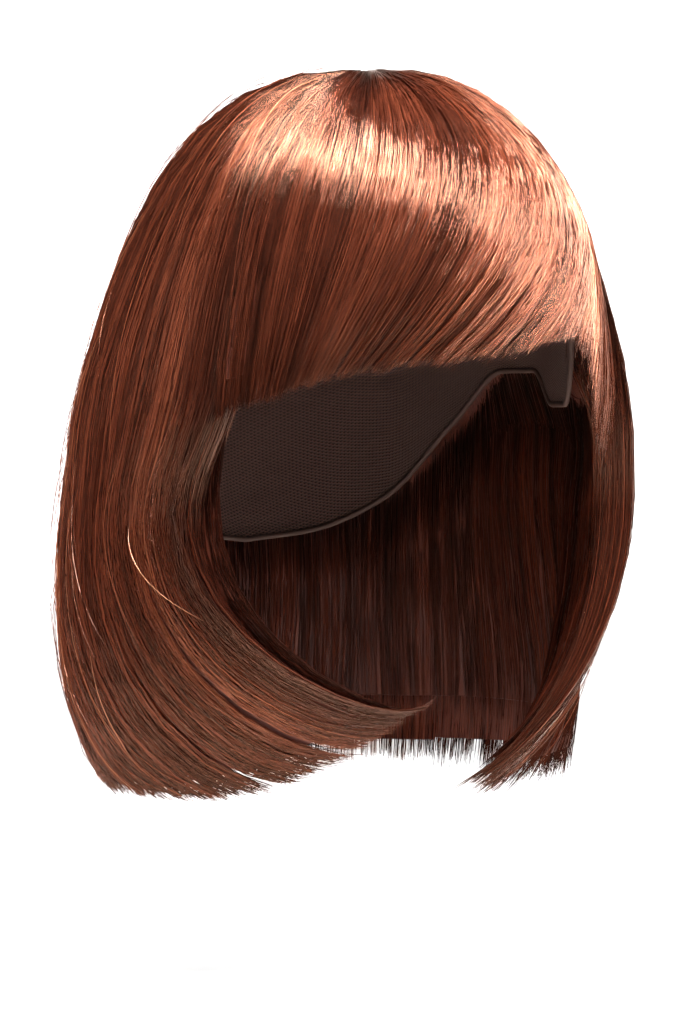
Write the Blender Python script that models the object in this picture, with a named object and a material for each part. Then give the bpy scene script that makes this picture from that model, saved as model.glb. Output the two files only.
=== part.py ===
"""Chin-length bob wig with a side-swept fringe, as separate sewn sections of hair on a thin cap.

Metres, +Z up, the face looks along -Y and the wearer's left is +X. The origin is the inside of the
cap's crown, where the top of the head bears. Azimuths are in degrees about Z: 0 is the face, 90 the
wearer's left, 180 the back and 270 the wearer's right. Polar angles are 0 at the crown and 90 at
the head's widest level.
"""

import math
import random

import bmesh
import bpy
import numpy as np

# The head that the cap fits: a dome that is squarer than an ellipsoid
HEAD_HALF_WIDTH = 0.076
HEAD_HALF_LENGTH = 0.096
HEAD_DOME_HEIGHT = 0.108
HEAD_SQUARENESS = 2.4

# The cap
CAP_WALL = 0.0015
CAP_COLUMNS = 38
CAP_ROWS = 10

# The hair's depth over the head, at the crown and at the head's widest level
CROWN_DEPTH = 0.0128
BRIM_DEPTH = 0.0280
FLARE = 0.0060
WHORL_X = -0.005
WHORL_Y = -0.020
WHORL_POLAR = 3.0

# The hair that hangs below the head's widest level
HANG_LENGTH = 0.148
TUCK = 0.055
CURTAIN_THICKNESS = 0.0125
TIP_THICKNESS = 0.0026
THINNING_SHARE = 0.42
UNDER_THICKNESS = 0.0055
UNDER_DROP_SHARE = 0.80
UNDER_LEAST_SHARE = 0.30
UNDER_TOP_POLAR = 99.0

# Locks and clearances
LOCK_RELIEF = 0.0021
LOCK_SWELL_REACH = 0.060
LOCK_NOTCH_SHARE = 0.045
LOCK_COLUMNS = 4
CAP_TO_HAIR_GAP = 0.0014
LAYER_GAP = 0.0013
SIDE_GAP = 0.0006

# Where one section of hair ends and the next begins, in degrees of azimuth
FRINGE_RIGHT_EDGE = -58.0
FRINGE_LEFT_EDGE = 48.0
TEMPLE_LOCK_EDGE = 60.0
LEFT_BACK_EDGE = 132.0
RIGHT_BACK_EDGE = 228.0

# The cap's edge: a low front, a tab before each ear, a rise over it and a deep nape
CAP_RIM = (  # azimuth from the face, polar angle of the edge
    (0, 58), (30, 61), (50, 75), (64, 93), (74, 93), (86, 86), (102, 86),
    (122, 97), (142, 112), (162, 119), (180, 121),
)

# How the hair's depth grows from the crown's to the brim's on the way down the dome
DOME_LIFT = (  # polar angle, share of the way from crown depth to brim depth: in front, behind
    (0, -0.25, -0.22),
    (9, 0.02, 0.0),
    (31, 0.03, -0.06),
    (49, 0.09, -0.11),
    (64, 0.18, 0.0),
    (79, 0.53, 0.38),
    (90, 0.97, 0.95),
)

# The hair's depth round the head's widest level
BRIM_SHARES = (  # azimuth from the face, share of the brim depth
    (0, 0.39), (25, 0.46), (45, 0.68), (60, 0.89), (90, 1.0), (120, 0.93), (150, 0.90), (180, 0.86),
)

# The fringe: its hair runs forward from the whorl and sweeps towards the wearer's right
FRINGE_GUIDES = (  # azimuth, sweep in degrees, polar angle of the tip, depth at the tip as a share
    (-58, 0, 94.0, 0.98),
    (-47, -6, 92.3, 0.72),
    (-30, -15, 90.7, 0.62),
    (-5, -26, 87.6, 0.60),
    (20, -32, 85.3, 0.60),
    (36, -30, 83.3, 0.60),
    (44, -26, 81.4, 0.61),
    (48, -24, 80.5, 0.62),
)
FRINGE_SWEEP_START = 38.0
FRINGE_SWEEP_POWER = 1.8
FRINGE_THINS_FROM = 60.0

# The lock at the left temple: it carries on from the fringe's edge, then hangs straight beside the face
TEMPLE_LOCK_GUIDES = (  # azimuth, sweep in degrees, polar angle of the tip, depth at the tip as a share
    (48, -24, 80.5, 0.62),
    (51, -19, 82.5, 0.64),
    (54, -16, 96.0, 0.62),
    (57, -11, 98.5, 0.64),
    (60, -6, 96.0, 0.72),
)

# Curtains and back: how each stretch round the head falls, curls under and swings forward
HANG_GUIDES = (  # azimuth, comb back, drop share, curl start share, turn, tuck share, sweep, flare share
    (60, 5, 0.99, 0.20, 58, 1.06, -14, 0.60),
    (77, 3, 1.01, 0.22, 56, 0.94, -8, 0.70),
    (87, 1, 1.00, 0.36, 50, 0.50, -3, 0.70),
    (95, 0, 0.99, 0.55, 40, 0.10, 0, 0.60),
    (150, 0, 0.99, 0.62, 50, 0.20, 0, 0.80),
    (180, 0, 0.97, 0.62, 52, 0.28, 0, 0.80),
    (210, 0, 1.00, 0.62, 54, 0.28, 5, 0.90),
    (235, 0, 1.01, 0.59, 62, 0.36, 16, 1.10),
    (257, 0, 1.01, 0.45, 74, 0.55, 28, 1.00),
    (280, -6, 0.94, 0.32, 86, 0.70, 43, 0.60),
    (302, -11, 0.79, 0.27, 97, 0.75, 59, 0.35),
)
COMB_END_SHARE = 0.32
FLARE_END_SHARE = 0.45
DOME_RUN_SHARE = 1.35
CURL_RUN_SHARE = 1.08
BEND_REACH_SHARE = 0.05

# How many locks each section has, and how many rows of faces run down it
SECTIONS = {  # locks, rows of faces, and where the back leaves the cap and hangs free, as shares of the dome
    "fringe": (9, 12, 0.50, 0.84),
    "temple_lock": (3, 12, 0.50, 0.84),
    "left_curtain": (8, 16, 0.82, 1.10),
    "back_hair": (9, 16, 0.82, 1.10),
    "right_curtain": (8, 16, 0.82, 1.10),
}
UNDER_COLUMNS = 26
UNDER_ROWS = 7
UNDER_FORWARD = (9.0, 3.0)
UNDER_NOTCH_SHARE = 0.03
LOCK_SEED = 7

HAIR_COLOUR = (0.235, 0.058, 0.026, 1.0)
UNDER_COLOUR = (0.085, 0.022, 0.014, 1.0)
CAP_COLOUR = (0.045, 0.022, 0.016, 1.0)


def column(table, index):
    """One column of a table, as an array."""
    return np.array([row[index] for row in table], float)


def through(table, index, at):
    """The table's column, read at these values of its first column on a smooth curve with no overshoot."""
    knots, values = column(table, 0), column(table, index)
    steps = np.diff(knots)
    slopes = np.diff(values) / steps
    product = slopes[:-1] * slopes[1:]
    total = np.where(product > 0, slopes[:-1] + slopes[1:], 1.0)
    inner = np.where(product > 0, 2 * product / total, 0.0)
    tangents = np.concatenate([slopes[:1], inner, slopes[-1:]])
    at = np.clip(at, knots[0], knots[-1])
    place = np.clip(np.searchsorted(knots, at, side="right") - 1, 0, len(steps) - 1)
    width = steps[place]
    u = (at - knots[place]) / width
    start, end = values[place], values[place + 1]
    rise = u * u * (3 - 2 * u)
    leave = u * (1 - u) ** 2 * width * tangents[place]
    arrive = u * u * (1 - u) * width * tangents[place + 1]
    return start + (end - start) * rise + leave - arrive


def ease(share):
    """0 to 1 with a soft start and end."""
    share = np.clip(share, 0.0, 1.0)
    return share * share * (3 - 2 * share)


def from_face(azimuth):
    """The unsigned angle from the face, 0 to 180 degrees."""
    return np.abs((np.asarray(azimuth, float) + 180.0) % 360.0 - 180.0)


def head_outline(azimuth):
    """The head's reach from the Z axis at its widest level."""
    turn = np.radians(azimuth)
    return 1.0 / np.sqrt((np.sin(turn) / HEAD_HALF_WIDTH) ** 2 + (np.cos(turn) / HEAD_HALF_LENGTH) ** 2)


def brim_depth(azimuth):
    """The hair's depth over the head's widest level."""
    return BRIM_DEPTH * through(BRIM_SHARES, 1, from_face(azimuth))


def dome_depth(azimuth, polar):
    """The hair's depth over the head, from the crown to the widest level."""
    behind = ease((from_face(azimuth) - 60) / 60)
    front, back = through(DOME_LIFT, 1, polar), through(DOME_LIFT, 2, polar)
    lift = front + (back - front) * behind
    return CROWN_DEPTH + (brim_depth(azimuth) - CROWN_DEPTH) * lift


def stack(x, y, z):
    """Points from their three coordinates."""
    return np.stack(np.broadcast_arrays(x, y, z), axis=-1)


def over_head(azimuth, polar, depth, whorl=True):
    """Points this far off the head, on rays from the centre of its widest level.

    The polar angle counts from the whorl, off the crown's centre, or from the crown without it.
    """
    turn, down = np.radians(azimuth), np.radians(polar)
    reach = np.sin(down) * head_outline(azimuth)
    shift = np.clip(1 - np.sin(down), 0, 1) * np.where(down < math.pi / 2, 1.0, 0.0) * whorl
    ray = stack(
        reach * np.sin(turn) + shift * WHORL_X,
        -reach * np.cos(turn) + shift * WHORL_Y,
        np.cos(down) * HEAD_DOME_HEIGHT,
    )
    flat = np.hypot(ray[..., 0] / HEAD_HALF_WIDTH, ray[..., 1] / HEAD_HALF_LENGTH)
    high = np.abs(ray[..., 2]) / HEAD_DOME_HEIGHT
    size = (flat**HEAD_SQUARENESS + high**HEAD_SQUARENESS) ** (1 / HEAD_SQUARENESS)
    length = np.linalg.norm(ray, axis=-1)
    scale = 1 / size + np.asarray(depth) / length
    return ray * scale[..., None] - np.array([0, 0, HEAD_DOME_HEIGHT])


def swept_outer(guides, azimuth, share):
    """A swept section's outer surface: azimuth at the whorl, share of the way from root to tip."""
    tip = through(guides, 2, azimuth)
    polar = WHORL_POLAR + (tip - WHORL_POLAR) * share
    swept = np.clip((polar - FRINGE_SWEEP_START) / (tip - FRINGE_SWEEP_START), 0, 1)
    swept = swept**FRINGE_SWEEP_POWER
    turned = azimuth + through(guides, 1, azimuth) * swept
    thins = ease((polar - FRINGE_THINS_FROM) / (90 - FRINGE_THINS_FROM))
    thin = 1 - (1 - through(guides, 3, azimuth)) * thins
    return over_head(turned, polar, dome_depth(turned, polar) * thin)


def hanging_path(azimuth, share):
    """The curtains' and back's course: over the dome, down, under and forward."""
    drop = HANG_LENGTH * through(HANG_GUIDES, 2, azimuth)
    start = HANG_LENGTH * through(HANG_GUIDES, 3, azimuth)
    turn = np.radians(through(HANG_GUIDES, 4, azimuth))
    tuck = TUCK * through(HANG_GUIDES, 5, azimuth)
    dome_run = DOME_RUN_SHARE * HEAD_DOME_HEIGHT
    curl_run = np.hypot(drop - start, tuck) * CURL_RUN_SHARE
    run = share * (dome_run + start + curl_run)
    polar = WHORL_POLAR + (90 - WHORL_POLAR) * np.clip(run / dome_run, 0, 1)
    fall = np.clip(run - dome_run, 0, start)
    curled = np.clip((run - dome_run - start) / curl_run, 0, 1)
    fall = fall + (drop - start) * np.sin(curled * turn) / np.sin(turn)
    bend = (1 - np.cos(curled * turn)) / (1 - np.cos(turn))
    azimuth_now = (
        azimuth
        + through(HANG_GUIDES, 1, azimuth) * ease(fall / (COMB_END_SHARE * HANG_LENGTH))
        + through(HANG_GUIDES, 6, azimuth) * bend
    )
    on_dome = over_head(azimuth_now, polar, dome_depth(azimuth_now, polar))
    flare = FLARE * through(HANG_GUIDES, 7, azimuth) * ease(fall / (FLARE_END_SHARE * HANG_LENGTH))
    out = flare - tuck * bend
    way = np.radians(azimuth_now)
    return on_dome + stack(out * np.sin(way), -out * np.cos(way), -fall)


def hanging_outer(azimuth, share):
    """The curtains' and back's outer surface: their course, with its bend at the widest level rounded."""
    reach = BEND_REACH_SHARE * np.clip(10 * share * (1 - share), 0, 1)
    courses = [hanging_path(azimuth, share + reach * step) for step in (-1, -0.5, 0, 0.5, 1)]
    return sum(courses) / len(courses)


def fringe_outer(azimuth, share):
    """The fringe's outer surface."""
    return swept_outer(FRINGE_GUIDES, azimuth, share)


def temple_lock_outer(azimuth, share):
    """The temple lock's outer surface."""
    return swept_outer(TEMPLE_LOCK_GUIDES, azimuth, share)


def outward(surface, azimuth, share):
    """Unit vectors square to the strands of a surface of azimuth and share, away from the head."""
    step = 0.0005
    low, high = np.maximum(share - step, 0), np.minimum(share + step, 1)
    down = surface(azimuth, high) - surface(azimuth, low)
    down /= np.linalg.norm(down, axis=-1, keepdims=True)
    away = surface(azimuth, share) + np.array([0, 0, HEAD_DOME_HEIGHT])
    away[..., 2] = np.maximum(away[..., 2], 0)
    away -= down * (away * down).sum(-1, keepdims=True)
    return away / np.linalg.norm(away, axis=-1, keepdims=True)


def cap_rim(azimuth):
    """The polar angle of the cap's edge."""
    return through(CAP_RIM, 1, from_face(azimuth))


def head_side(point, depth):
    """The point this far off the head on the ray through each point."""
    ray = point + np.array([0, 0, HEAD_DOME_HEIGHT])
    flat = np.hypot(ray[..., 0] / HEAD_HALF_WIDTH, ray[..., 1] / HEAD_HALF_LENGTH)
    high = np.abs(ray[..., 2]) / HEAD_DOME_HEIGHT
    size = (flat**HEAD_SQUARENESS + high**HEAD_SQUARENESS) ** (1 / HEAD_SQUARENESS)
    scale = 1 / size + depth / np.linalg.norm(ray, axis=-1)
    return ray * scale[..., None] - np.array([0, 0, HEAD_DOME_HEIGHT])


def inner_of(surface, name, azimuth, share):
    """A section's inner surface: on the cap over the dome, and close behind the outer one below it."""
    leaves, hangs = SECTIONS[name][2:]
    outer = surface(azimuth, share)
    on_cap = head_side(outer, CAP_WALL + CAP_TO_HAIR_GAP)
    hanging = outer - outward(surface, azimuth, share) * curtain_thickness(share)[..., None]
    free = ease((-outer[..., 2] / HEAD_DOME_HEIGHT - leaves) / (hangs - leaves))
    return on_cap + (hanging - on_cap) * free[..., None]


def curtain_thickness(share):
    """The hanging hair's thickness: full at the jaw, thin at the tips."""
    return TIP_THICKNESS + (CURTAIN_THICKNESS - TIP_THICKNESS) * ease((1 - share) / THINNING_SHARE)


def sheet_solid(name, outer, inner, colour, roughness=0.4):
    """One closed body between two grids of points, each [column][row]."""
    columns, rows = outer.shape[:2]
    body = bmesh.new()
    sides = []
    for grid in (outer, inner):
        sides.append([[body.verts.new(grid[i, j]) for j in range(rows)] for i in range(columns)])
    out, back = sides

    def quad(a, b, c, d):
        # Always split from a to c, so that the walls of two neighbours match
        body.faces.new((a, b, c))
        body.faces.new((a, c, d))

    end, last = columns - 1, rows - 1
    for i in range(end):
        k = i + 1
        for j in range(last):
            quad(out[i][j], out[i][j + 1], out[k][j + 1], out[k][j])
            quad(back[i][j], back[k][j], back[k][j + 1], back[i][j + 1])
        quad(out[k][0], back[k][0], back[i][0], out[i][0])
        quad(out[i][last], back[i][last], back[k][last], out[k][last])
    for j in range(last):
        quad(out[0][j], back[0][j], back[0][j + 1], out[0][j + 1])
        quad(out[end][j], out[end][j + 1], back[end][j + 1], back[end][j])
    return finish(name, body, colour, roughness)


def finish(name, body, colour, roughness):
    """The named object of a bmesh, with its material."""
    bmesh.ops.recalc_face_normals(body, faces=body.faces)
    mesh = bpy.data.meshes.new(name)
    body.to_mesh(mesh)
    body.free()
    mesh.shade_smooth()
    mesh.set_sharp_from_angle(angle=math.radians(50))
    material = bpy.data.materials.new(name)
    material.use_nodes = True
    shader = material.node_tree.nodes["Principled BSDF"]
    shader.inputs["Base Color"].default_value = colour
    shader.inputs["Roughness"].default_value = roughness
    shader.inputs["Metallic"].default_value = 0.0
    mesh.materials.append(material)
    made = bpy.data.objects.new(name, mesh)
    bpy.context.scene.collection.objects.link(made)
    return made


def section(name, surface, first, last, dice):
    """One section of hair: locks side by side on a backing, from the whorl to the tips."""
    locks, rows = SECTIONS[name][:2]
    count = locks * LOCK_COLUMNS + 1
    azimuth = np.linspace(first, last, count)[:, None]
    share = np.linspace(0, 1, rows + 1)[None, :]
    phase = np.arange(count) / LOCK_COLUMNS
    crest = np.abs(np.sin(math.pi * phase))
    # Each lock has its own height and length; the grooves between them are all alike
    heights = np.array([dice.uniform(0.75, 1.25) for _ in range(locks)])
    lengths = np.array([dice.uniform(-0.6, 1.0) for _ in range(locks)])
    lock = np.minimum(phase.astype(int), locks - 1)
    relief = (1.6 * crest * heights[lock] - 1)[:, None]
    reached = 1 - LOCK_NOTCH_SHARE * (1 - crest * (0.7 + 0.3 * lengths[lock]))
    share = share * reached[:, None]
    # The two side walls stand clear of the neighbours by half the gap
    spread = np.hypot(*np.moveaxis(surface(azimuth, share)[..., :2] - (WHORL_X, WHORL_Y), -1, 0))
    inset = np.degrees(SIDE_GAP / 2 / spread)
    azimuth = azimuth + inset * (first + last - 2 * azimuth) / (last - first)
    outer, normal = surface(azimuth, share), outward(surface, azimuth, share)
    inner = inner_of(surface, name, azimuth, share)
    swell = ease(spread / LOCK_SWELL_REACH) * (0.75 + 0.5 * share)
    outer = outer + normal * (LOCK_RELIEF * relief * swell)[..., None]
    return sheet_solid(name, outer, inner, HAIR_COLOUR)


def under_hair():
    """The shorter inner layer, from below the cap's edge, close inside the curtains and back."""
    first, last = TEMPLE_LOCK_EDGE + 1, 360 + FRINGE_RIGHT_EDGE - 1
    azimuth = np.linspace(first, last, UNDER_COLUMNS + 1)[:, None]
    rows = np.linspace(0, 1, UNDER_ROWS + 1)[None, :]
    # Shares of the way down the curtain where the cap's edge is passed, and where this layer ends
    steps = np.linspace(0.4, 0.95, 111)[None, :]
    height = hanging_outer(azimuth, steps)[..., 2]
    edge = np.maximum(cap_rim(azimuth) + 1, UNDER_TOP_POLAR)
    rim = over_head(azimuth, edge, 0.0, whorl=False)[..., 2]
    top = np.array([np.interp(-r, -h, steps[0]) for r, h in zip(rim[:, 0], height)])[:, None]
    drop = HANG_LENGTH * UNDER_DROP_SHARE * through(HANG_GUIDES, 2, azimuth)
    low = np.minimum(-HEAD_DOME_HEIGHT - drop, rim - UNDER_LEAST_SHARE * HANG_LENGTH)
    bottom = np.array([np.interp(-b, -h, steps[0]) for b, h in zip(low[:, 0], height)])[:, None]
    bottom[1::2] -= UNDER_NOTCH_SHARE
    share = top + (bottom - top) * rows
    # Its front edges show ahead of the curtains
    forward, across = UNDER_FORWARD, (azimuth - first) / (last - first)
    reach = ease((rows - 0.05) / 0.4)
    azimuth = azimuth + reach * (forward[0] * ease(4 * across - 3) - forward[1] * ease(1 - 4 * across))
    curtain = inner_of(hanging_outer, "back_hair", azimuth, share)
    normal = outward(hanging_outer, azimuth, share)
    thickness = TIP_THICKNESS + (UNDER_THICKNESS - TIP_THICKNESS) * np.sin(math.pi * (0.25 + 0.5 * rows))
    clear = LAYER_GAP * (1 + rows)
    outer = curtain - normal * clear[..., None]
    inner = curtain - normal * (clear + thickness)[..., None]
    return sheet_solid("under_hair", outer, inner, UNDER_COLOUR, 0.5)


def cap():
    """The thin cap: a dome open below, with the shaped edge of a wig cap."""
    azimuth = np.linspace(0, 360, CAP_COLUMNS, endpoint=False)[:, None]
    rows = np.linspace(0, 1, CAP_ROWS + 1)[None, 1:]
    polar = rows * cap_rim(azimuth)
    body = bmesh.new()
    shells = []
    for depth, top in ((0.0, 0.0), (CAP_WALL, CAP_WALL)):
        grid = over_head(azimuth, polar, depth, whorl=False)
        rings = [[body.verts.new(grid[i, j]) for i in range(CAP_COLUMNS)] for j in range(CAP_ROWS)]
        shells.append((body.verts.new((0, 0, top)), rings))
    for i in range(CAP_COLUMNS):
        k = (i + 1) % CAP_COLUMNS
        for crown, rings in shells:
            body.faces.new((crown, rings[0][i], rings[0][k]))
            for j in range(CAP_ROWS - 1):
                body.faces.new((rings[j][i], rings[j + 1][i], rings[j + 1][k], rings[j][k]))
        inside, outside = shells[0][1][-1], shells[1][1][-1]
        body.faces.new((inside[i], outside[i], outside[k], inside[k]))
    return finish("cap", body, CAP_COLOUR, 0.8)


def build():
    """The cap, then each section of hair round the whorl, then the layer inside."""
    for old in list(bpy.data.objects):
        bpy.data.objects.remove(old)
    dice = random.Random(LOCK_SEED)
    cap()
    section("fringe", fringe_outer, FRINGE_RIGHT_EDGE, FRINGE_LEFT_EDGE, dice)
    section("temple_lock", temple_lock_outer, FRINGE_LEFT_EDGE, TEMPLE_LOCK_EDGE, dice)
    section("left_curtain", hanging_outer, TEMPLE_LOCK_EDGE, LEFT_BACK_EDGE, dice)
    section("back_hair", hanging_outer, LEFT_BACK_EDGE, RIGHT_BACK_EDGE, dice)
    section("right_curtain", hanging_outer, RIGHT_BACK_EDGE, 360 + FRINGE_RIGHT_EDGE, dice)
    under_hair()


build()
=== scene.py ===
"""Dresses the bob wig: fibres in locks over each section of hair, and the sewn net cap inside."""

import logging
import math
from dataclasses import dataclass
from enum import Enum
from typing import Callable

import bmesh
import bpy
import numpy as np
from bpy.types import ID, Material, Mesh, Node, NodeSocket, NodeTree, Object
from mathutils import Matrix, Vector


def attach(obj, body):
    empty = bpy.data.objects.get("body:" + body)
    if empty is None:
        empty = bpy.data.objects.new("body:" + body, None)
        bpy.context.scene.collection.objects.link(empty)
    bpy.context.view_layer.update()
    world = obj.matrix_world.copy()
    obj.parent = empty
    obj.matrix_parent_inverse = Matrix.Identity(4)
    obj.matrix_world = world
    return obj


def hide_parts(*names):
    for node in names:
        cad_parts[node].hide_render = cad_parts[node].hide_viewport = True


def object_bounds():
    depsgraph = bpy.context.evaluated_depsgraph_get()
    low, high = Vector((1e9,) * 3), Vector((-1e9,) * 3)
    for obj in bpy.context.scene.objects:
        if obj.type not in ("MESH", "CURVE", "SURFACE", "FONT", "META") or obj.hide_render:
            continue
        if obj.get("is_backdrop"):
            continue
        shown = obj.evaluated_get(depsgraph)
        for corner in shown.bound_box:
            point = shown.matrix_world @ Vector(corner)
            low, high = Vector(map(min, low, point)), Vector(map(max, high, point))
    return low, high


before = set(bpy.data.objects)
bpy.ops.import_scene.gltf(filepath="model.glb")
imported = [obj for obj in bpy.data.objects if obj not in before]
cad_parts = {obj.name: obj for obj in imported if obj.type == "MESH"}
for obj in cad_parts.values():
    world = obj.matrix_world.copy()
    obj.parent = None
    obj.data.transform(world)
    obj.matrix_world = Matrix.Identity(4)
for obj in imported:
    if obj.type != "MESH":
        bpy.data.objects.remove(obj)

Array = np.ndarray
Dice = np.random.Generator
Surface = Callable[[Array, Array], Array]
Colour = Place = tuple[float, float, float]

FIBRE_MAP = "OFBake"
FLOW_MAP = "Flow"
CROWN: Place = (0.0, 0.0, -0.02)
JAW: Place = (0.0, 0.0, -0.15)
# Polar angle of the head's widest level
LEVEL = 90
# How far the map of a body's inner side starts past the outer side's, and the angle that stays sharp
INNER_MAP = 1.1
SHARP = math.radians(60)
# Highest phase that is drawn, in radians
ROUND = 6.28

log = logging.getLogger("wig")


def column(table: tuple, index: int) -> Array:
    """Return one column of a guide table."""
    return np.array([row[index] for row in table], float)


def through(table: tuple, index: int, at: Array) -> Array:
    """Read a guide table on a smooth curve with no overshoot.

    Args:
        table: Rows whose first value rises.
        index: The column that is read.
        at: Values of the first column.

    Returns:
        The column's values there, held level past either end.
    """
    knots, values = column(table, 0), column(table, index)
    steps = np.diff(knots)
    slopes = np.diff(values) / steps
    product = slopes[:-1] * slopes[1:]
    total = np.where(product > 0, slopes[:-1] + slopes[1:], 1.0)
    inner = np.where(product > 0, 2 * product / total, 0.0)
    tangents = np.concatenate([slopes[:1], inner, slopes[-1:]])
    at = np.clip(at, knots[0], knots[-1])
    place = np.clip(np.searchsorted(knots, at, side="right") - 1, 0, len(steps) - 1)
    width = steps[place]
    u = (at - knots[place]) / width
    start, end = values[place], values[place + 1]
    rise = u * u * (3 - 2 * u)
    leave = u * (1 - u) ** 2 * width * tangents[place]
    arrive = u * u * (1 - u) * width * tangents[place + 1]
    return start + (end - start) * rise + leave - arrive


def ease(share: Array) -> Array:
    """Turn 0 to 1 into 0 to 1 with a soft start and end."""
    share = np.clip(share, 0.0, 1.0)
    return share * share * (3 - 2 * share)


def from_face(azimuth: Array) -> Array:
    """Return the unsigned angle from the face, 0 to 180 degrees."""
    return np.abs((np.asarray(azimuth, float) + 180.0) % 360.0 - 180.0)


def stack(x: Array, y: Array, z: Array) -> Array:
    """Return points from their three coordinates."""
    return np.stack(np.broadcast_arrays(x, y, z), axis=-1)


@dataclass(frozen=True)
class Head:
    """The dome that the cap fits. Lengths in metres, origin at the inside of the cap's crown."""

    half_width: float = 0.076
    half_length: float = 0.096
    dome: float = 0.108
    squareness: float = 2.4
    whorl: tuple[float, float] = (-0.005, -0.020)
    whorl_polar: float = 3.0

    @property
    def centre(self) -> Array:
        """The centre of the head's widest level."""
        return np.array([0, 0, -self.dome])

    def outline(self, azimuth: Array) -> Array:
        """Return the head's reach from the Z axis at its widest level."""
        turn = np.radians(azimuth)
        return 1.0 / np.sqrt((np.sin(turn) / self.half_width) ** 2 + (np.cos(turn) / self.half_length) ** 2)

    def on_ray(self, ray: Array, depth: Array) -> Array:
        """Return the points this far off the head.

        Args:
            ray: Directions from the centre of the widest level.
            depth: How far off the head, in metres.

        Returns:
            One point for each direction.
        """
        flat = np.hypot(ray[..., 0] / self.half_width, ray[..., 1] / self.half_length)
        high = np.abs(ray[..., 2]) / self.dome
        size = (flat**self.squareness + high**self.squareness) ** (1 / self.squareness)
        scale = 1 / size + np.asarray(depth) / np.linalg.norm(ray, axis=-1)
        return ray * scale[..., None] + self.centre

    def over(self, azimuth: Array, polar: Array, depth: Array, from_whorl: bool = True) -> Array:
        """Return points over the head.

        Args:
            azimuth: Degrees from the face towards the wearer's left.
            polar: Degrees down from the whorl, or from the crown.
            depth: How far off the head.
            from_whorl: Whether the polar angle counts from the whorl.

        Returns:
            The points.
        """
        turn, down = np.radians(azimuth), np.radians(polar)
        reach = np.sin(down) * self.outline(azimuth)
        shift = np.clip(1 - np.sin(down), 0, 1) * np.where(down < math.pi / 2, 1.0, 0.0) * from_whorl
        ray = stack(
            reach * np.sin(turn) + shift * self.whorl[0],
            -reach * np.cos(turn) + shift * self.whorl[1],
            np.cos(down) * self.dome,
        )
        return self.on_ray(ray, depth)


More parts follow.
